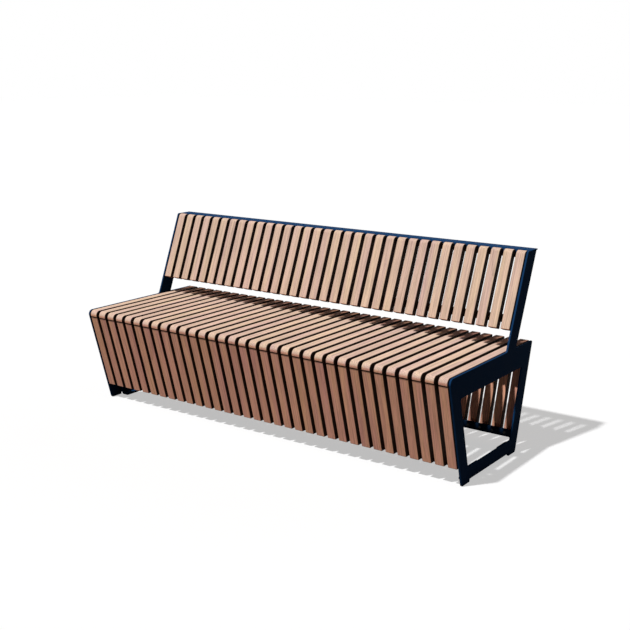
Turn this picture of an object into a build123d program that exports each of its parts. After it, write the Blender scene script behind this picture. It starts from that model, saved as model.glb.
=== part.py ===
from build123d import *
from math import cos, radians, sin, tan
import os

# Slatted public bench with a backrest, in millimetres.
# X runs along the bench, +Y points to the rear, +Z is up.
# The origin is on the ground, in the middle of the four ground anchor holes.

# Overall sizes
overall_length = 1900.0
overall_height = 832.0
seat_height = 450.0
seat_depth = 700.0  # from front line to rear line, at the seat's top
side_lean = 15.0  # degrees, how far the front and rear panels lean out
back_lean = 22.0  # degrees, how far the backrest leans back
back_setback = 467.0  # from the seat's front line to the backrest's face, at the seat's top

# End plates, cut from flat steel
plate_thickness = 8.0
side_member = 60.0  # width of the front and rear members, square to their edges
seat_member = 93.0  # height of the member below the seat's top
window_sill = 64.0  # height of the window's lower edge above the ground
upright_depth = 72.0  # square to the upright's edges
foot_length = 62.0
foot_height = 12.0  # the plate's lower edge stands this far off the ground between the feet
nose_radius = 20.0  # front corner of the seat, on plates and slats, and the back slats' tops
seat_rear_radius = 6.0
foot_radius = 10.0
foot_step_radius = 4.0
window_radius = 8.0
upright_root_radius = 12.0
upright_rear_root_radius = 4.0
upright_tip_radius = 8.0
upright_rear_tip_radius = 2.0
plate_edge_radius = 1.0  # the cut edges are rounded off before painting

# Timber slats, all of one section
slat_count = 34  # in each row
slat_width = 40.0
slat_thickness = 30.0
slat_edge_radius = 3.0
slat_end_easing = 0.5  # slat ends are this much rounder than the long edges
nose_flat = 0.5  # a thin slat keeps this much of its end flat beside the nose
slat_end_gap = 4.5  # from the last slat to the end plate
joint_gap = 2.5  # between the seat slats and the panel slats below them
panel_bottom = 71.5  # height of the panel slats' lower ends
back_bottom = 532.5  # height of the back slats' lower front corners
slats_per_node = 4

# Steel tubes behind the slats
panel_tube = 30.0  # square tube
seat_tube_height = 60.0
seat_tube_width = 30.0
tube_wall = 3.0
tube_bend_radius = 1.0  # inside the tube's corners
seat_rail_offset = 230.0  # front and rear seat rails, from the middle one
lower_rail_drop = 6.0  # lower panel rails reach this far below the slats' backs
upper_rail_inset = 12.0  # upper panel rails end this far below the tops of the slats' backs
back_rail_rise = 33.5  # from the back slats' lower ends to the lower back rail

# Folded cap rail on top of the backrest
cap_thickness = 5.0
cap_leg = 35.0  # length of the leg behind the back slats
cap_overhang = 7.0  # past the uprights' rear edges
cap_bend_radius = 3.0
cap_edge_radius = 1.0
cap_over_slats = 1.0  # the cap stands this far above the back slats
cap_seat_gap = 0.5  # play in front of the cap's ends, in the uprights' notches

# Ground anchor brackets, welded inside the plates
bracket_flange = 40.0
bracket_leg = 60.0
bracket_length = 80.0
bracket_thickness = 8.0
bracket_bend_radius = 6.0  # inside the fold
bracket_foot_gap = 0.5  # from the foot to the bracket
anchor_hole = 13.0  # diameter
anchor_inset = 17.0  # from the flange's free edge to the hole's centre

# Coach screws, through the rails into the slats
screw_diameter = 6.0
screw_bite = 20.0  # depth in the timber
screw_tip = 4.0
screw_point = 2.0  # diameter at the end of the tip
screw_head_height = 4.0
screw_head_across = 10.0
rail_hole_clearance = 0.3  # on the radius
pilot_clearance = 0.1  # on the radius and beyond the tip
cut_overrun = 2.0  # cuts and drills reach this far past the faces that they go through

# Derived places
inner_length = overall_length - 2 * plate_thickness
half_inner = inner_length / 2
slat_pitch = (inner_length - 2 * slat_end_gap - slat_width) / (slat_count - 1)
slat_places = [(i - (slat_count - 1) / 2) * slat_pitch for i in range(slat_count)]
base_half = seat_depth / 2 - seat_height * tan(radians(side_lean))
slat_underside = seat_height - slat_thickness
panel_top = slat_underside - joint_gap
upright_width = upright_depth / cos(radians(back_lean))
back_slat_width = slat_thickness / cos(radians(back_lean))
cap_underside = overall_height - cap_thickness
tube_radius = tube_bend_radius + tube_wall
slat_end_radius = slat_edge_radius + slat_end_easing
bracket_outer_radius = bracket_bend_radius + bracket_thickness

# The nose takes up at most the seat slats' leaning front ends, less the rounding below it
front_end = slat_thickness / cos(radians(side_lean)) - nose_flat
front_end_room = front_end - slat_end_radius / tan(radians(90 + side_lean) / 2)
slat_nose_radius = min(nose_radius, front_end_room * tan(radians(90 - side_lean) / 2))

# The back slats are cut square, and their noses end just below the cap's top
back_nose_radius = min(nose_radius, slat_thickness - slat_end_radius - nose_flat)
back_nose_rise = overall_height - cap_over_slats - back_nose_radius - back_bottom
back_nose_start = back_nose_rise / cos(radians(back_lean)) + back_nose_radius * tan(radians(back_lean))
back_slat_length = back_nose_start + back_nose_radius


def rear_line(z):
    """Y of the rear panel's outer face at a height; the front panel mirrors it."""
    return base_half + z * tan(radians(side_lean))


def back_line(z):
    """Y of the backrest's front face at a height."""
    return back_setback - seat_depth / 2 + (z - seat_height) * tan(radians(back_lean))


def yz_solid(points, radii, length, middle=0.0):
    """A solid along X whose outline in Y and Z has rounded corners."""
    outline = FilletPolyline(*points, radius=radii, close=True)
    face = Plane.YZ * make_face(outline)
    return Pos(middle, 0, 0) * extrude(face, amount=length / 2, both=True)


class SlatRow:
    """One row of slats, in Y and Z: a point on its face, the way along it and the way to its back."""

    def __init__(self, start, along, inward):
        self.start = start
        self.along = along
        self.inward = inward

    def place(self, distance, depth):
        """Y and Z of a point at a distance along the slats and a depth behind their face."""
        y = self.start[0] + self.along[0] * distance + self.inward[0] * depth
        z = self.start[1] + self.along[1] * distance + self.inward[1] * depth
        return y, z

    def frame(self, distance, depth, x=0.0):
        """A plane that faces the slats' backs, with its X along the bench."""
        y, z = self.place(distance, depth)
        return Plane(origin=(x, y, z), x_dir=(1, 0, 0), z_dir=(0, -self.inward[0], -self.inward[1]))


def leaning_row(start, lean, towards_rear):
    """A row that leans by a number of degrees, with its face to the front or to the rear."""
    rise = cos(radians(lean))
    run = sin(radians(lean))
    if towards_rear:
        return SlatRow(start, (run, rise), (-rise, run))
    return SlatRow(start, (run, rise), (rise, -run))


front_row = leaning_row((-rear_line(panel_bottom), panel_bottom), -side_lean, False)
rear_row = leaning_row((rear_line(panel_bottom), panel_bottom), side_lean, True)
back_row = leaning_row((back_line(back_bottom), back_bottom), back_lean, False)
seat_row = SlatRow((-seat_depth / 2, seat_height), (1, 0), (0, -1))

# Places of the rails' middles along each row; a level line shifts this far from a slat's face to its back
panel_end_shift = slat_thickness * tan(radians(side_lean))
back_end_shift = slat_thickness * tan(radians(back_lean))
panel_slat_length = (panel_top - panel_bottom) / cos(radians(side_lean))
lower_panel_rail = panel_tube / 2 - panel_end_shift - lower_rail_drop
upper_panel_rail = panel_slat_length - panel_end_shift - upper_rail_inset - panel_tube / 2
lower_back_rail = back_rail_rise + panel_tube / 2
cap_row_length = (overall_height - back_bottom) / cos(radians(back_lean))
cap_leg_middle = cap_row_length + back_end_shift - cap_leg / 2
seat_middle = seat_depth / 2
seat_rails = [seat_middle - seat_rail_offset, seat_middle, seat_middle + seat_rail_offset]


# End plates

def end_plate():
    """One plate, centred on X: feet, window, seat member and inclined upright with a notch for the cap."""
    front_foot = -base_half + foot_length
    rear_foot = base_half - foot_length
    upright_rear = back_line(seat_height) + upright_width
    notch = back_line(overall_height) + back_slat_width - cap_seat_gap
    corners = [
        ((-base_half, 0), foot_radius),
        ((front_foot, 0), foot_step_radius),
        ((front_foot, foot_height), foot_step_radius),
        ((rear_foot, foot_height), foot_step_radius),
        ((rear_foot, 0), foot_step_radius),
        ((base_half, 0), foot_radius),
        ((rear_line(seat_height), seat_height), seat_rear_radius),
        ((upright_rear, seat_height), upright_rear_root_radius),
        ((back_line(cap_underside) + upright_width, cap_underside), upright_rear_tip_radius),
        ((notch, cap_underside), 0),
        ((notch, overall_height), 0),
        ((back_line(overall_height), overall_height), upright_tip_radius),
        ((back_line(seat_height), seat_height), upright_root_radius),
        ((-rear_line(seat_height), seat_height), nose_radius),
    ]
    points, radii = zip(*corners)
    plate = yz_solid(points, radii, plate_thickness)

    member = side_member / cos(radians(side_lean))
    window_head = seat_height - seat_member
    window_corners = [
        (-rear_line(window_sill) + member, window_sill),
        (rear_line(window_sill) - member, window_sill),
        (rear_line(window_head) - member, window_head),
        (-rear_line(window_head) + member, window_head),
    ]
    plate -= yz_solid(window_corners, window_radius, plate_thickness + 2 * cut_overrun)
    sides = plate.faces().filter_by(Axis.X)
    return fillet([edge for side in sides for edge in side.edges()], plate_edge_radius)


# Timber slats

def slat(row, corners, radii, holes):
    """One slat, centred on X, with rounded long edges and pilot holes from behind."""
    board = yz_solid(corners, radii, slat_width)
    sides = board.faces().filter_by(Axis.X)
    board = fillet([edge for side in sides for edge in side.edges()], slat_edge_radius)
    drill = Cylinder(
        screw_diameter / 2 + pilot_clearance,
        screw_bite + pilot_clearance,
        align=(Align.CENTER, Align.CENTER, Align.MIN),
    )
    for distance in holes:
        board -= row.frame(distance, slat_thickness) * drill
    return board


def panel_slat(row, mirror_side, holes):
    """A front or rear panel slat, cut level at both ends."""
    across = slat_thickness / cos(radians(side_lean))
    corners = [
        (mirror_side * rear_line(panel_bottom), panel_bottom),
        (mirror_side * (rear_line(panel_bottom) - across), panel_bottom),
        (mirror_side * (rear_line(panel_top) - across), panel_top),
        (mirror_side * rear_line(panel_top), panel_top),
    ]
    return slat(row, corners, slat_end_radius, holes)


def seat_slat():
    """A seat slat with a rounded nose, cut to the lean of the panels at both ends."""
    corners = [
        (-rear_line(slat_underside), slat_underside),
        (rear_line(slat_underside), slat_underside),
        (rear_line(seat_height), seat_height),
        (-rear_line(seat_height), seat_height),
    ]
    radii = [slat_end_radius, slat_end_radius, seat_rear_radius, slat_nose_radius]
    return slat(seat_row, corners, radii, seat_rails)


def back_slat():
    """A back slat, cut square at both ends, with a rounded nose at its top."""
    corners = [
        back_row.place(0, 0),
        back_row.place(0, slat_thickness),
        back_row.place(back_slat_length, slat_thickness),
        back_row.place(back_slat_length, 0),
    ]
    radii = [slat_end_radius, slat_end_radius, slat_end_radius, back_nose_radius]
    return slat(back_row, corners, radii, [lower_back_rail, cap_leg_middle])


# Steel rails

def rail_drill(row, distance, rail_depth):
    """Holes for one screw in each slat, through a rail that lies on the slats' backs."""
    drill = Cylinder(screw_diameter / 2 + rail_hole_clearance, rail_depth + 2 * cut_overrun)
    middle = slat_thickness + rail_depth / 2
    return [row.frame(distance, middle, x) * drill for x in slat_places]


def tube_rail(row, distance, along_size, depth_size):
    """A tube between the plates, flat against the slats' backs, drilled for the screws."""
    y, z = row.place(distance, slat_thickness + depth_size / 2)
    middle = Plane(origin=(-half_inner, y, z), x_dir=(0, *row.along), z_dir=(1, 0, 0))
    section = RectangleRounded(along_size, depth_size, tube_radius)
    section -= RectangleRounded(along_size - 2 * tube_wall, depth_size - 2 * tube_wall, tube_bend_radius)
    rail = extrude(middle * section, amount=inner_length)
    return rail - rail_drill(row, distance, depth_size)


def cap_rail():
    """A folded strip: a leg behind the back slats and a level flange over the uprights."""
    front = back_line(overall_height) + back_slat_width
    rear = back_line(overall_height) + upright_width + cap_overhang
    leg_across = cap_thickness / cos(radians(back_lean))
    leg_bottom_front = back_row.place(cap_leg_middle - cap_leg / 2, slat_thickness)
    leg_bottom_rear = back_row.place(cap_leg_middle - cap_leg / 2, slat_thickness + cap_thickness)
    inner_bend = (back_line(cap_underside) + back_slat_width + leg_across, cap_underside)
    corners = [
        leg_bottom_front,
        leg_bottom_rear,
        inner_bend,
        (rear, cap_underside),
        (rear, overall_height),
        (front, overall_height),
    ]
    side_radii = [cap_edge_radius, cap_edge_radius, cap_bend_radius]
    cap = yz_solid(corners, side_radii * 2, inner_length)
    end_corners = [
        (front + cap_bend_radius, cap_underside),
        (rear, cap_underside),
        (rear, overall_height),
        (front + cap_bend_radius, overall_height),
    ]
    end_radii = [0, cap_edge_radius, cap_edge_radius, 0]
    for side in (-1, 1):
        cap += yz_solid(end_corners, end_radii, plate_thickness, side * (half_inner + plate_thickness / 2))
    return cap - rail_drill(back_row, cap_leg_middle, cap_thickness)


# Ground anchor brackets

def anchor_bracket():
    """The left front bracket, folded: a leg on the plate's inner face and a drilled flange."""
    free_edge = -half_inner + bracket_flange
    corners = [
        (-half_inner, 0),
        (free_edge, 0),
        (free_edge, bracket_thickness),
        (-half_inner + bracket_thickness, bracket_thickness),
        (-half_inner + bracket_thickness, bracket_leg),
        (-half_inner, bracket_leg),
    ]
    radii = [bracket_outer_radius, 0, 0, bracket_bend_radius, 0, 0]
    outline = FilletPolyline(*corners, radius=radii, close=True)
    bracket = extrude(Plane.XZ * make_face(outline), amount=bracket_length / 2, both=True)
    drill = Cylinder(anchor_hole / 2, bracket_thickness + 2 * cut_overrun)
    hole = Pos(free_edge - anchor_inset, 0, bracket_thickness / 2) * drill
    middle = -base_half + foot_length + bracket_foot_gap + bracket_length / 2
    return Pos(0, middle, 0) * (bracket - hole)


# Screws

def coach_screw(grip):
    """A hex-headed coach screw that stands on its tip's axis, with the head's seat at Z = 0."""
    shank_length = grip + screw_bite - screw_tip
    seat = (Align.CENTER, Align.CENTER, Align.MIN)
    shank = Cylinder(screw_diameter / 2, shank_length, align=seat)
    tip = Pos(0, 0, shank_length) * Cone(screw_diameter / 2, screw_point / 2, screw_tip, align=seat)
    head_face = RegularPolygon(screw_head_across / 2, 6, major_radius=False)
    return shank + tip + extrude(head_face, amount=-screw_head_height)


def screw_group(row, rail_places, grip):
    """One screw for each slat at each rail of a row, with their heads on the rails."""
    screw = coach_screw(grip)
    group = []
    for distance in rail_places:
        for x in slat_places:
            group.append(row.frame(distance, slat_thickness + grip, x) * screw)
    return group


# Writing the pieces

os.makedirs("parts", exist_ok=True)


def write(name, solids):
    """Writes one node, made of one solid or of several separate ones."""
    shape = Compound(children=list(solids)) if len(solids) > 1 else solids[0]
    export_step(shape, f"parts/{name}.step")


def write_slats(name, board):
    """Writes a row of equal slats, a few neighbours to each node."""
    boards = [Pos(x, 0, 0) * board for x in slat_places]
    for start in range(0, slat_count, slats_per_node):
        number = start // slats_per_node + 1
        write(f"{name}_{number:02d}", boards[start:start + slats_per_node])


plate = end_plate()
plate_middle = half_inner + plate_thickness / 2
write("end_plate_left", [Pos(-plate_middle, 0, 0) * plate])
write("end_plate_right", [Pos(plate_middle, 0, 0) * plate])

bracket = anchor_bracket()
bracket_rear = mirror(bracket, about=Plane.XZ)
write("anchor_bracket_left_front", [bracket])
write("anchor_bracket_left_rear", [bracket_rear])
write("anchor_bracket_right_front", [mirror(bracket, about=Plane.YZ)])
write("anchor_bracket_right_rear", [mirror(bracket_rear, about=Plane.YZ)])

for name, distance in zip(("front", "middle", "rear"), seat_rails):
    write(f"seat_rail_{name}", [tube_rail(seat_row, distance, seat_tube_width, seat_tube_height)])
write("front_panel_rail_lower", [tube_rail(front_row, lower_panel_rail, panel_tube, panel_tube)])
write("front_panel_rail_upper", [tube_rail(front_row, upper_panel_rail, panel_tube, panel_tube)])
write("rear_panel_rail_lower", [tube_rail(rear_row, lower_panel_rail, panel_tube, panel_tube)])
write("rear_panel_rail_upper", [tube_rail(rear_row, upper_panel_rail, panel_tube, panel_tube)])
write("back_rail_lower", [tube_rail(back_row, lower_back_rail, panel_tube, panel_tube)])
write("back_cap_rail", [cap_rail()])

panel_rails = [lower_panel_rail, upper_panel_rail]
write_slats("front_slats", panel_slat(front_row, -1, panel_rails))
write_slats("rear_slats", panel_slat(rear_row, 1, panel_rails))
write_slats("seat_slats", seat_slat())
write_slats("back_slats", back_slat())

write("seat_slat_screws", screw_group(seat_row, seat_rails, seat_tube_height))
write("front_slat_screws", screw_group(front_row, panel_rails, panel_tube))
write("rear_slat_screws", screw_group(rear_row, panel_rails, panel_tube))
write("back_slat_screws", screw_group(back_row, [lower_back_rail], panel_tube))
write("cap_screws", screw_group(back_row, [cap_leg_middle], cap_thickness))
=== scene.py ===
# Looks of the slatted public bench: timber slats, a powder-coated steel frame and black screws.
# Metres, in the frame of the solids: X along the bench, +Y to the rear, +Z up.

from collections import namedtuple
from math import cos, pi, radians, sin, tau

import bpy
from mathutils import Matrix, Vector


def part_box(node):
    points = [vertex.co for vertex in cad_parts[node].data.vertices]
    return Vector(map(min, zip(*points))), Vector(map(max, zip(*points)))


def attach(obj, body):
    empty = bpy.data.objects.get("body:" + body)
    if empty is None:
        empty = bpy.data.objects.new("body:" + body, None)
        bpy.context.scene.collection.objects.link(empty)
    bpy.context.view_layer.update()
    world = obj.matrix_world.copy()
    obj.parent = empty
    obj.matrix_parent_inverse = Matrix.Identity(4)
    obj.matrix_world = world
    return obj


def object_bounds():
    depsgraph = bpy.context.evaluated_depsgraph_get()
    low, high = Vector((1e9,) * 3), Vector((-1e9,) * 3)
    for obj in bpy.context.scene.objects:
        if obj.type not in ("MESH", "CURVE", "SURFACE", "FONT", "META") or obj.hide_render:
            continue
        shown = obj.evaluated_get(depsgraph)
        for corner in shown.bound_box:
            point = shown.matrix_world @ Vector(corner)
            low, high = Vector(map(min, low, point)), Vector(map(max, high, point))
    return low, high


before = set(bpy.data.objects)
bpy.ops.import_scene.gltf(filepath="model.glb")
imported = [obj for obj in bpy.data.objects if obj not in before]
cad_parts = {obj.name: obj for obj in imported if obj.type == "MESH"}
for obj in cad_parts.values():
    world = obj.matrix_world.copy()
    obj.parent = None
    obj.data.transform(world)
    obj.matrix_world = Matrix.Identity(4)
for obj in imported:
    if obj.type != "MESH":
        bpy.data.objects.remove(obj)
cad_low, cad_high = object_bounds()

# Settings of a noise texture; a stretch below 1 draws it out along the slats
Noise = namedtuple("Noise", "scale detail roughness stretch", defaults=(1.0,))

# Camera, as the photograph was taken
image_width_px = 630
focal_length_px = 1042.7
sensor_width_mm = 36.0
camera_place = (2.665, -3.538, 1.541)
camera_yaw = radians(35.97)
camera_pitch = radians(13.33)

# Light
to_sun = Vector((-0.175, -0.464, 0.868))
sun_share = 1.10  # of a white surface's brightness, where the sun meets it squarely
sun_spread = radians(2.0)
to_fill = Vector((0.25, 0.96, 0.12))
fill_share = 0.14  # a broad, weak lamp behind the bench
fill_spread = radians(70.0)
sky_share = 0.035  # of a white surface's brightness, under the whole sky
sky_warmth = (1.0, 0.84, 0.74)
white = (1.0, 1.0, 1.0)
white_strength = 1.0
floor_size = 80.0
floor_lift = 0.50  # how far the floor's shadow is lifted towards white
floor_bounce = (0.25, 0.25, 0.25)  # what the floor sends back to the bench

# Slats, as the solids have them
slat_count = 34
slats_per_node = 4
# The turn about X that stands a row's slats upright
row_leans = {"front": radians(-15), "rear": radians(15), "back": radians(22), "seat": radians(90)}
open_rows = ("seat", "back")  # the rows that sun and rain reach, which get the paler bleached colours that are also painted light

# Timber colours: the bleached ones are sun bleaching and also painted light on faces turned up; the fresh
# ones are unweathered timber and also the deeper colour of painted shade
bleached_and_lit_tan = (0.726, 0.525, 0.371)
bleached_and_lit_rose = (0.681, 0.460, 0.394)
fresh_and_shaded_tan = (0.775, 0.400, 0.238)
fresh_and_shaded_rose = (0.712, 0.334, 0.256)
bleach_and_light_range = (-0.15, 0.35)  # upward part of the normal where bleaching and painted light begin, and where they are full
rose_gain = 2.2  # how sharply the streaks turn from tan to rose
rose_start = 0.60  # what a streak has to pass, after the gain, to turn rose
slat_hue_share = 0.40  # how much of the rose tone is the slat's own, the rest comes in streaks
slat_tone_range = 0.11
seat_painted_light = 1.04  # the seat is made lighter: painted light on its top, besides its stronger bleaching

# Painted shade on the timber, with some real darkening of the end grain; each share says how much darker it
# makes it
painted_gap_shade = 0.93  # painted shade on the sides, which face each other across the gaps
# Sideways part of the normal where a side's painted shade begins, and how much more of it until it is full
gap_shade_from = {"front": 0.35, "rear": 0.35, "back": 0.25, "seat": 0.08}
gap_shade_fade = 0.42
end_grain_and_shade = 0.88  # on the sawn ends: their end grain's darker tone, and painted shade where they face down
end_range = (0.20, 0.65)  # lengthwise part of the normal where an end's darkening begins, and where it is full
underside_range = (-0.28, -0.55)  # the same, of the upward part; the open rows' ends are darkened only below, as painted shade
painted_joint_shade = 0.90  # painted shade at the panels' upper ends, in the joint below the seat's nose
joint_reach = 0.008
painted_backrest_shadow = 0.55  # painted shadow of the backrest on the seat's rear strip
backrest_shadow_range = (0.200, 0.240)  # Y where the painted backrest shadow begins, and where it is full

# Timber grain
trunk_length = 9.0  # each slat's grain comes from anywhere along it
chance_layer = 0.5  # picks the set of random numbers that the slats draw from
ring_width = 0.0065
ring_sharpness = 2.2
ring_contrast = 0.20
ring_balance = 0.3  # share of the contrast that lifts the tone, so that rings don't darken it
heart_near = 0.05  # nearest and farthest place of a slat's ring centre, from its middle
heart_far = 0.20
heart_sway = 0.035
sway_noise = Noise(1.6, 1.0, 0.5)
streak_noise = Noise(45.0, 2.0, 0.5, stretch=0.06)
band_noise = Noise(230.0, 2.0, 0.55, stretch=0.035)
band_range = (0.30, 0.70)  # of the noise
band_contrast = 0.30
fibre_noise = Noise(900.0, 3.0, 0.6, stretch=0.03)
fibre_contrast = 0.20
pore_noise = Noise(1500.0, 1.0, 0.5, stretch=0.05)
pore_range = (0.62, 0.74)  # of the noise
pore_contrast = 0.18

# Timber surface
timber_shine = 0.02
timber_roughness = 0.52
fibre_roughness = 0.22  # what fibres and late wood add to it
late_wood_roughness = -0.08
late_wood_relief = 0.5  # beside the fibres' relief of 1
pore_relief = -0.8
grain_relief = 0.0004
grain_bump = 0.6

# Powder coat
paint_navy = (0.0032, 0.0115, 0.0300)
paint_faded_and_sunlit = (0.0090, 0.0430, 0.1200)  # faded, and painted sunlight: several times brighter where the sun lamp meets the face
paint_rubbed = (0.0160, 0.0480, 0.1050)  # on handled edges
fade_and_sunlit_full = 0.60  # how squarely a face meets the sun where it is fully faded and painted sunlit
peel_noise = Noise(700.0, 2.0, 0.5)
grit_noise = Noise(2600.0, 1.0, 0.5)
cloud_noise = Noise(9.0, 3.0, 0.55)
cloud_low = 0.75  # the paint's tone where the clouding is darkest
cloud_contrast = 0.5
scuff_noise = Noise(60.0, 4.0, 0.65)
scuff_range = (0.45, 0.70)  # of the noise
scuff_gain = 4.0  # makes up for the edge term, which is a quarter at most
coat_shine = 0.003
coat_roughness = 0.42
peel_roughness = 0.12  # what peel, clouding and rubbing add to it
cloud_roughness = 0.16
rubbed_roughness = -0.15
grit_relief = 0.35  # beside the peel's relief of 1
peel_relief = 0.0002
peel_bump = 0.5

# Screws
screw_black = (0.010, 0.010, 0.011)
screw_rubbed = (0.045, 0.045, 0.047)
rub_noise = Noise(260.0, 3.0, 0.6)
rub_range = (0.45, 0.70)  # of the noise
scratch_noise = Noise(1800.0, 2.0, 0.6)
screw_shine = 0.2
screw_roughness = 0.30
rub_roughness = 0.25  # what rubbing and scratches add to it
scratch_roughness = 0.15
scratch_relief = 0.0001
scratch_bump = 0.4

# Weld beads, and the sizes of the solids that they follow
plate_thickness = 0.008
tube_corner = 0.004
tube_corner_steps = 3
tube_corner_signs = ((1, 1), (-1, 1), (-1, -1), (1, -1))  # along the slats and square to them, in turn
bead_radius = 0.0022
bead_step = 0.001
bead_ripple = 0.004  # length of one ripple
bead_ripple_depth = 0.12  # of the radius
bead_sides = 8
panel_tube = (0.030, 0.030)  # along the slats, and square to them
seat_tube = (0.030, 0.060)
rails = {
    "front_panel_rail_lower": ("front", panel_tube),
    "front_panel_rail_upper": ("front", panel_tube),
    "rear_panel_rail_lower": ("rear", panel_tube),
    "rear_panel_rail_upper": ("rear", panel_tube),
    "back_rail_lower": ("back", panel_tube),
    "seat_rail_front": ("seat", seat_tube),
    "seat_rail_middle": ("seat", seat_tube),
    "seat_rail_rear": ("seat", seat_tube),
}
bracket_fold = 0.014  # height where the bracket's leg leaves the plate


class Shader:
    """A material or a world under construction; its methods add nodes and give back what comes out."""

    def __init__(self, owner):
        owner.use_nodes = True
        self.owner = owner
        self.tree = owner.node_tree
        self.tree.nodes.clear()

    def node(self, kind, inputs=(), **settings):
        """Adds a node; each input is a number, a colour or another node's output, by name or by place."""
        made = self.tree.nodes.new(kind)
        for name, value in settings.items():
            setattr(made, name, value)
        for key, value in dict(inputs).items():
            self.feed(made.inputs[key], value)
        return made

    def feed(self, socket, value):
        """Sets or links one input; colours are given without their alpha."""
        if isinstance(value, bpy.types.NodeSocket):
            self.tree.links.new(value, socket)
        elif socket.type == "RGBA":
            socket.default_value = (*value, 1.0)
        else:
            socket.default_value = value

    def math(self, operation, *values, clamp=False):
        made = self.node("ShaderNodeMath", enumerate(values), operation=operation, use_clamp=clamp)
        return made.outputs[0]

    def combine(self, x, y, z):
        return self.node("ShaderNodeCombineXYZ", {"X": x, "Y": y, "Z": z}).outputs[0]

    def separate(self, vector):
        return self.node("ShaderNodeSeparateXYZ", {"Vector": vector}).outputs

    def noise(self, vector, settings):
        inputs = {
            "Vector": vector,
            "Scale": settings.scale,
            "Detail": settings.detail,
            "Roughness": settings.roughness,
        }
        return self.node("ShaderNodeTexNoise", inputs).outputs

    def ramp(self, value, start, end, full=1.0):
        """Rises smoothly from 0 at the start to the full value at the end."""
        inputs = {"Value": value, "From Min": start, "From Max": end, "To Min": 0.0, "To Max": full}
        return self.node("ShaderNodeMapRange", inputs, interpolation_type="SMOOTHSTEP").outputs["Result"]

    def vary(self, base, value, amount):
        """Adds to a base, times an amount, how far a value between 0 and 1 lies from its middle."""
        from_middle = self.math("SUBTRACT", value, 0.5)
        return self.math("MULTIPLY_ADD", from_middle, amount, base)

    def mix(self, share, first, second, blend="MIX"):
        """Mixes two colours, which are the node's inputs 6 and 7."""
        inputs = {0: share, 6: first, 7: second}
        return self.node("ShaderNodeMix", inputs, data_type="RGBA", blend_type=blend).outputs[2]

    def tone(self, colour, tone):
        """Multiplies all of a colour by one tone."""
        return self.mix(1.0, colour, self.combine(tone, tone, tone), "MULTIPLY")

    def bump(self, height, depth, strength):
        inputs = {"Height": height, "Distance": depth, "Strength": strength}
        return self.node("ShaderNodeBump", inputs).outputs[0]

    def blend(self, share, first, second):
        """Mixes two shaders."""
        return self.node("ShaderNodeMixShader", {0: share, 1: first, 2: second}).outputs[0]

    def seen(self):
        """1 for what the camera sees, itself or in reflections and glass, 0 for other light."""
        rays = self.node("ShaderNodeLightPath").outputs
        seen = self.math("MAXIMUM", rays["Is Camera Ray"], rays["Is Glossy Ray"])
        return self.math("MAXIMUM", seen, rays["Is Transmission Ray"])

    def surface(self, **inputs):
        """Ends the material in one Principled shader."""
        named = {name.replace("_", " "): value for name, value in inputs.items()}
        return self.output(self.node("ShaderNodeBsdfPrincipled", named).outputs[0])

    def output(self, shader):
        """Ends the material or the world, and gives it back."""
        is_world = isinstance(self.owner, bpy.types.World)
        kind = "ShaderNodeOutputWorld" if is_world else "ShaderNodeOutputMaterial"
        self.node(kind, {"Surface": shader})
        return self.owner


# Timber

def slat_pitch(row):
    """Distance between the middles of neighbouring slats, from the boxes of the row's nodes."""
    first_low, first_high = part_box(f"{row}_slats_01")
    last_number = (slat_count - 1) // slats_per_node + 1
    last_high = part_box(f"{row}_slats_{last_number:02d}")[1]
    whole_row = last_high.x - first_low.x
    first_node = first_high.x - first_low.x
    return (whole_row - first_node) / (slat_count - slats_per_node)


def stand_up(shader, vector, lean):
    """Turns a place or a normal about X, so that the slats stand upright."""
    inputs = {"Vector": vector, "Angle": lean}
    turned = shader.node("ShaderNodeVectorRotate", inputs, rotation_type="X_AXIS")
    return shader.separate(turned.outputs[0])


def slat_chances(shader, number, row_number):
    """Three random numbers of each slat's own."""
    seed = shader.combine(number, float(row_number), chance_layer)
    chance = shader.node("ShaderNodeTexWhiteNoise", {"Vector": seed}, noise_dimensions="3D")
    return shader.separate(chance.outputs["Color"])


def growth_rings(shader, across, depth, along_trunk, chance_a, chance_b):
    """Late wood of the rings about the slat's heart, which sways along the length."""
    sway = shader.separate(shader.noise(shader.combine(0.0, chance_a, along_trunk), sway_noise)["Color"])
    turn = shader.math("MULTIPLY", chance_a, tau)
    heart = shader.math("MULTIPLY_ADD", chance_b, heart_far - heart_near, heart_near)
    ring_x = shader.math("MULTIPLY_ADD", shader.math("COSINE", turn), heart, across)
    ring_y = shader.math("MULTIPLY_ADD", shader.math("SINE", turn), heart, depth)
    ring_x = shader.math("MULTIPLY_ADD", sway[0], heart_sway, ring_x)
    ring_y = shader.math("MULTIPLY_ADD", sway[1], heart_sway, ring_y)
    ring_place = shader.combine(ring_x, ring_y, 0.0)
    radius = shader.node("ShaderNodeVectorMath", {0: ring_place}, operation="LENGTH").outputs["Value"]
    ring_phase = shader.math("FRACT", shader.math("DIVIDE", radius, ring_width))
    return shader.math("POWER", ring_phase, ring_sharpness)


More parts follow.
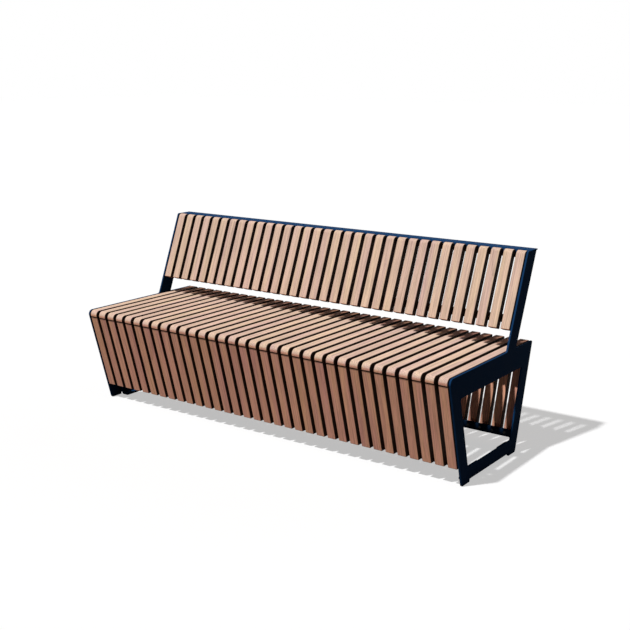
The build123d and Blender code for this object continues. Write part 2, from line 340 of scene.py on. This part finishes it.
def timber(row, row_number):
    """Wood of one row: rings about a heart beside each slat, with its own tone for every slat."""
    lean = row_leans[row]
    pitch = slat_pitch(row)
    low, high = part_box(f"{row}_slats_01")
    middle = (low + high) / 2
    row_depth = middle.y * cos(lean) - middle.z * sin(lean)

    # Place in the slat, and what is the slat's own
    shader = Shader(bpy.data.materials.new(f"timber_{row}"))
    place = shader.node("ShaderNodeTexCoord").outputs["Object"]
    _, place_y, place_z = shader.separate(place)
    x, y, along = stand_up(shader, place, lean)
    number = shader.math("FLOOR", shader.math("MULTIPLY_ADD", x, 1 / pitch, slat_count / 2))
    slat_middle = shader.math("MULTIPLY", shader.math("SUBTRACT", number, (slat_count - 1) / 2), pitch)
    across = shader.math("SUBTRACT", x, slat_middle)
    depth = shader.math("SUBTRACT", y, row_depth)
    chance_a, chance_b, chance_c = slat_chances(shader, number, row_number)
    along_trunk = shader.math("MULTIPLY_ADD", chance_c, trunk_length, along)
    own_depth = shader.math("ADD", depth, chance_b)
    late_wood = growth_rings(shader, across, depth, along_trunk, chance_a, chance_b)

    # Fibres, pores, bands and broad streaks, all drawn out along the slat
    def drawn_out(settings):
        stretched = shader.math("MULTIPLY", along_trunk, settings.stretch)
        return shader.noise(shader.combine(across, own_depth, stretched), settings)["Fac"]

    fibre = drawn_out(fibre_noise)
    pore = shader.ramp(drawn_out(pore_noise), *pore_range)
    band = shader.ramp(drawn_out(band_noise), *band_range)
    streak = drawn_out(streak_noise)

    # Sun bleaching and painted light make what faces up paler, but not the seat's strip under the painted
    # backrest shadow
    normal = shader.node("ShaderNodeNewGeometry").outputs["Normal"]
    normal_z = shader.separate(normal)[2]
    normal_across, _, normal_along = stand_up(shader, normal, lean)
    own_rose = shader.math("MULTIPLY_ADD", chance_b, slat_hue_share, -rose_start - slat_hue_share / 2)
    rose = shader.math("MULTIPLY_ADD", streak, rose_gain, own_rose, clamp=True)
    colour = shader.mix(rose, fresh_and_shaded_tan, fresh_and_shaded_rose)
    if row in open_rows:
        bleached_and_lit = shader.mix(rose, bleached_and_lit_tan, bleached_and_lit_rose)
        bleached_and_lit_share = shader.ramp(normal_z, *bleach_and_light_range)
        if row == "seat":
            # under the painted backrest shadow the seat keeps the deeper fresh colours
            backrest_shadow = shader.ramp(place_y, *backrest_shadow_range)
            bleached_and_lit_share = shader.math("MULTIPLY", bleached_and_lit_share, shader.math("SUBTRACT", 1.0, backrest_shadow))
        colour = shader.mix(bleached_and_lit_share, colour, bleached_and_lit)

    # Grain and the slat's own tone, with the seat's painted light
    row_tone = seat_painted_light if row == "seat" else 1.0
    shade = shader.math("MULTIPLY_ADD", late_wood, -ring_contrast, row_tone + ring_contrast * ring_balance)
    shade = shader.vary(shade, band, -band_contrast)
    shade = shader.vary(shade, fibre, -fibre_contrast)
    shade = shader.math("MULTIPLY_ADD", pore, -pore_contrast, shade)
    shade = shader.vary(shade, chance_c, slat_tone_range)

    # Painted shade darkens the sides across the gaps, the sawn ends and the joints, and a painted shadow
    # darkens the seat's strip behind the backrest; the ends' darkening is partly their end grain
    gap_shade_start = gap_shade_from[row]
    gap_shade_end = gap_shade_start + gap_shade_fade
    # painted shade on the sides that face each other across the gaps, and on their rounded edges
    side = shader.ramp(shader.math("ABSOLUTE", normal_across), gap_shade_start, gap_shade_end, painted_gap_shade)
    # end grain's own darker tone, with painted shade where the ends face down
    end = shader.ramp(shader.math("ABSOLUTE", normal_along), *end_range, end_grain_and_shade)
    if row in open_rows:
        end = shader.math("MULTIPLY", end, shader.ramp(normal_z, *underside_range))
    else:
        # painted shade in the joint below the seat's nose
        joint_shade = shader.ramp(place_z, high.z - joint_reach, high.z, painted_joint_shade)
        end = shader.math("MAXIMUM", end, joint_shade)
    clean_and_unshaded = shader.math("SUBTRACT", 1.0, shader.math("MAXIMUM", side, end))
    shade = shader.math("MULTIPLY", shade, clean_and_unshaded)
    # painted shadow of the backrest darkens the seat's rear strip
    if row == "seat":
        shade = shader.math("MULTIPLY", shade, shader.math("MULTIPLY_ADD", backrest_shadow, -painted_backrest_shadow, 1.0))

    # Surface
    roughness = shader.math("MULTIPLY_ADD", late_wood, late_wood_roughness, timber_roughness)
    roughness = shader.math("MULTIPLY_ADD", fibre, fibre_roughness, roughness)
    relief = shader.math("MULTIPLY_ADD", pore, pore_relief, fibre)
    relief = shader.math("MULTIPLY_ADD", late_wood, late_wood_relief, relief)
    return shader.surface(
        Base_Color=shader.tone(colour, shade),
        Roughness=roughness,
        Specular_IOR_Level=timber_shine,
        Normal=shader.bump(relief, grain_relief, grain_bump),
    )


# Steel

def powder_coat(name, painted_sunlight):
    """Navy powder coat: orange peel, faint clouding, rubbed plate edges, faded and painted sunlit where the
    sun lamp meets it.
    """
    shader = Shader(bpy.data.materials.new(name))
    place = shader.node("ShaderNodeTexCoord").outputs["Object"]
    normal = shader.node("ShaderNodeNewGeometry").outputs["Normal"]
    normal_x = shader.separate(normal)[0]
    peel = shader.noise(place, peel_noise)["Fac"]
    grit = shader.noise(place, grit_noise)["Fac"]
    cloud = shader.noise(place, cloud_noise)["Fac"]
    scuff = shader.noise(place, scuff_noise)["Fac"]

    # Colour
    clouding = shader.math("MULTIPLY_ADD", cloud, cloud_contrast, cloud_low)
    colour = shader.tone(paint_navy, clouding)
    if painted_sunlight:
        # painted sunlight: faces turned to the sun lamp get the brighter faded blue
        facing = {0: normal, 1: to_sun}
        exposure = shader.node("ShaderNodeVectorMath", facing, operation="DOT_PRODUCT").outputs["Value"]
        faded_and_sunlit = shader.math("MULTIPLY", shader.ramp(exposure, 0.0, fade_and_sunlit_full), clouding, clamp=True)
        colour = shader.mix(faded_and_sunlit, colour, paint_faded_and_sunlit)
    across_squared = shader.math("MULTIPLY", normal_x, normal_x)
    edge = shader.math("MULTIPLY", across_squared, shader.math("SUBTRACT", 1.0, across_squared))
    rubbed = shader.math("MULTIPLY", edge, shader.ramp(scuff, *scuff_range, scuff_gain), clamp=True)
    colour = shader.mix(rubbed, colour, paint_rubbed)

    # Surface
    roughness = shader.math("MULTIPLY_ADD", peel, peel_roughness, coat_roughness)
    roughness = shader.math("MULTIPLY_ADD", cloud, cloud_roughness, roughness)
    roughness = shader.math("MULTIPLY_ADD", rubbed, rubbed_roughness, roughness)
    relief = shader.math("MULTIPLY_ADD", grit, grit_relief, peel)
    return shader.surface(
        Base_Color=colour,
        Roughness=roughness,
        Specular_IOR_Level=coat_shine,
        Normal=shader.bump(relief, peel_relief, peel_bump),
    )


def screw_coat():
    """Black-coated screws, paler where the spanner rubbed them."""
    shader = Shader(bpy.data.materials.new("screw_coat"))
    place = shader.node("ShaderNodeTexCoord").outputs["Object"]
    rub = shader.noise(place, rub_noise)["Fac"]
    scratch = shader.noise(place, scratch_noise)["Fac"]
    roughness = shader.math("MULTIPLY_ADD", scratch, scratch_roughness, screw_roughness)
    roughness = shader.math("MULTIPLY_ADD", rub, rub_roughness, roughness)
    return shader.surface(
        Base_Color=shader.mix(shader.ramp(rub, *rub_range), screw_black, screw_rubbed),
        Roughness=roughness,
        Specular_IOR_Level=screw_shine,
        Normal=shader.bump(scratch, scratch_relief, scratch_bump),
    )


timber_rows = {row: timber(row, place) for place, row in enumerate(row_leans)}
# the outer frame gets painted sunlight; the rails and beads get the same coat without it
outer_coat = powder_coat("powder_coat", True)
inner_coat = powder_coat("powder_coat_without_painted_sun", False)
screw_finish = screw_coat()


def look(node):
    """The material of one CAD node."""
    if node.endswith("screws"):
        return screw_finish
    if "_slats_" in node:
        return timber_rows[node.split("_")[0]]
    if node in rails:
        return inner_coat
    return outer_coat


for node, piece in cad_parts.items():
    piece.data.materials.clear()
    piece.data.materials.append(look(node))


# Weld beads

class BeadMesh:
    """Collects the mesh of all the beads on one end plate's inner face."""

    def __init__(self, side):
        self.plate_face = side * (cad_high.x - plate_thickness)
        self.points = []
        self.faces = []

    def add(self, path, closed):
        """Sweeps a rippled round along a path of Y and Z places, with even steps."""
        places = spaced(path, closed)
        first = len(self.points)
        count = len(places)
        for number, place in enumerate(places):
            before = places[number - 1] if closed or number > 0 else place
            after = places[(number + 1) % count] if closed or number < count - 1 else place
            ahead = (after - before).normalized()
            outward = Vector((0, ahead.z, -ahead.y))
            centre = Vector((self.plate_face, place.y, place.z))
            ripple = 1 + bead_ripple_depth * sin(tau * number * bead_step / bead_ripple)
            for corner in range(bead_sides):
                angle = tau * corner / bead_sides
                offset = outward * cos(angle) + Vector((1, 0, 0)) * sin(angle)
                self.points.append(centre + offset * bead_radius * ripple)
        for number in range(count if closed else count - 1):
            this = first + number * bead_sides
            other = first + (number + 1) % count * bead_sides
            for corner in range(bead_sides):
                turn = (corner + 1) % bead_sides
                self.faces.append((this + turn, this + corner, other + corner, other + turn))
        if not closed:
            self.faces.append(tuple(first + corner for corner in range(bead_sides)))
            self.faces.append(tuple(len(self.points) - 1 - corner for corner in range(bead_sides)))


def spaced(path, closed):
    """Divides a path of straight pieces into even steps."""
    corners = path + path[:1] if closed else path
    places = []
    for start, end in zip(corners, corners[1:]):
        steps = max(1, round((end - start).length / bead_step))
        places += [start.lerp(end, step / steps) for step in range(steps)]
    if not closed:
        places.append(corners[-1])
    return places


def tube_outline(node, row, size):
    """Outline of a tube's end, with its rounded corners."""
    low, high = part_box(node)
    middle = (low + high) / 2
    lean = row_leans[row]
    along = Vector((0, sin(lean), cos(lean)))
    square = Vector((0, cos(lean), -sin(lean)))
    outline = []
    for quarter, (sign_along, sign_square) in enumerate(tube_corner_signs):
        corner = middle + along * sign_along * (size[0] / 2 - tube_corner)
        corner = corner + square * sign_square * (size[1] / 2 - tube_corner)
        for step in range(tube_corner_steps + 1):
            turn = (quarter + step / tube_corner_steps) * pi / 2
            outline.append(corner + (along * cos(turn) + square * sin(turn)) * tube_corner)
    return [Vector((0, place.y, place.z)) for place in outline]


def bracket_outline(node):
    """The edge of a bracket's leg on the plate: up one side, over the top and down the other."""
    low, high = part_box(node)
    places = [(low.y, bracket_fold), (low.y, high.z), (high.y, high.z), (high.y, bracket_fold)]
    return [Vector((0, y, z)) for y, z in places]


def add_beads(side, side_name):
    """One piece with all the beads on one end plate."""
    beads = BeadMesh(side)
    for node, (row, size) in rails.items():
        beads.add(tube_outline(node, row, size), True)
    for place in ("front", "rear"):
        beads.add(bracket_outline(f"anchor_bracket_{side_name}_{place}"), False)
    mesh = bpy.data.meshes.new(f"weld_beads_{side_name}")
    mesh.from_pydata(beads.points, [], beads.faces)
    mesh.materials.append(inner_coat)
    mesh.shade_smooth()
    piece = bpy.data.objects.new(mesh.name, mesh)
    bpy.context.scene.collection.objects.link(piece)
    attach(piece, "root")


add_beads(-1, "left")
add_beads(1, "right")


# Floor and light

def floor_material():
    """White floor that keeps the shadow; it sends only a little light back to the bench."""
    shader = Shader(bpy.data.materials.new("pale_floor"))
    shadowed = shader.node("ShaderNodeBsdfDiffuse", {"Color": white}).outputs[0]
    glow = shader.node("ShaderNodeEmission", {"Color": white, "Strength": white_strength}).outputs[0]
    shown = shader.blend(floor_lift, shadowed, glow)
    bounced = shader.node("ShaderNodeBsdfDiffuse", {"Color": floor_bounce}).outputs[0]
    return shader.output(shader.blend(shader.seen(), bounced, shown))


def add_floor():
    bpy.ops.mesh.primitive_plane_add(size=floor_size, location=(0, 0, cad_low.z))
    floor = bpy.context.object
    floor.name = "floor"
    floor.data.materials.append(floor_material())


def add_sky():
    """An even, slightly warm sky, which the camera and reflections see as white."""
    shader = Shader(bpy.data.worlds.new("studio"))
    lighting = shader.node("ShaderNodeBackground", {"Color": sky_warmth, "Strength": sky_share}).outputs[0]
    backdrop = shader.node("ShaderNodeBackground", {"Color": white, "Strength": white_strength}).outputs[0]
    bpy.context.scene.world = shader.output(shader.blend(shader.seen(), lighting, backdrop))


def add_lamp(name, direction, share, spread):
    """A distant lamp that lights a white surface, square to it, to a share of white."""
    lamp = bpy.data.lights.new(name, "SUN")
    lamp.energy = share * pi
    lamp.angle = spread
    piece = bpy.data.objects.new(name, lamp)
    piece.rotation_euler = direction.to_track_quat("Z", "Y").to_euler()
    bpy.context.scene.collection.objects.link(piece)


def add_camera():
    lens = bpy.data.cameras.new("camera")
    lens.sensor_width = sensor_width_mm
    lens.lens = focal_length_px / image_width_px * sensor_width_mm
    lens.clip_end = floor_size
    camera = bpy.data.objects.new("camera", lens)
    camera.location = camera_place
    camera.rotation_euler = (pi / 2 - camera_pitch, 0, camera_yaw)
    bpy.context.scene.collection.objects.link(camera)
    bpy.context.scene.camera = camera


add_floor()
add_sky()
add_lamp("sun", to_sun, sun_share, sun_spread)
add_lamp("fill", to_fill, fill_share, fill_spread)
add_camera()
bpy.context.scene.view_settings.view_transform = "Standard"
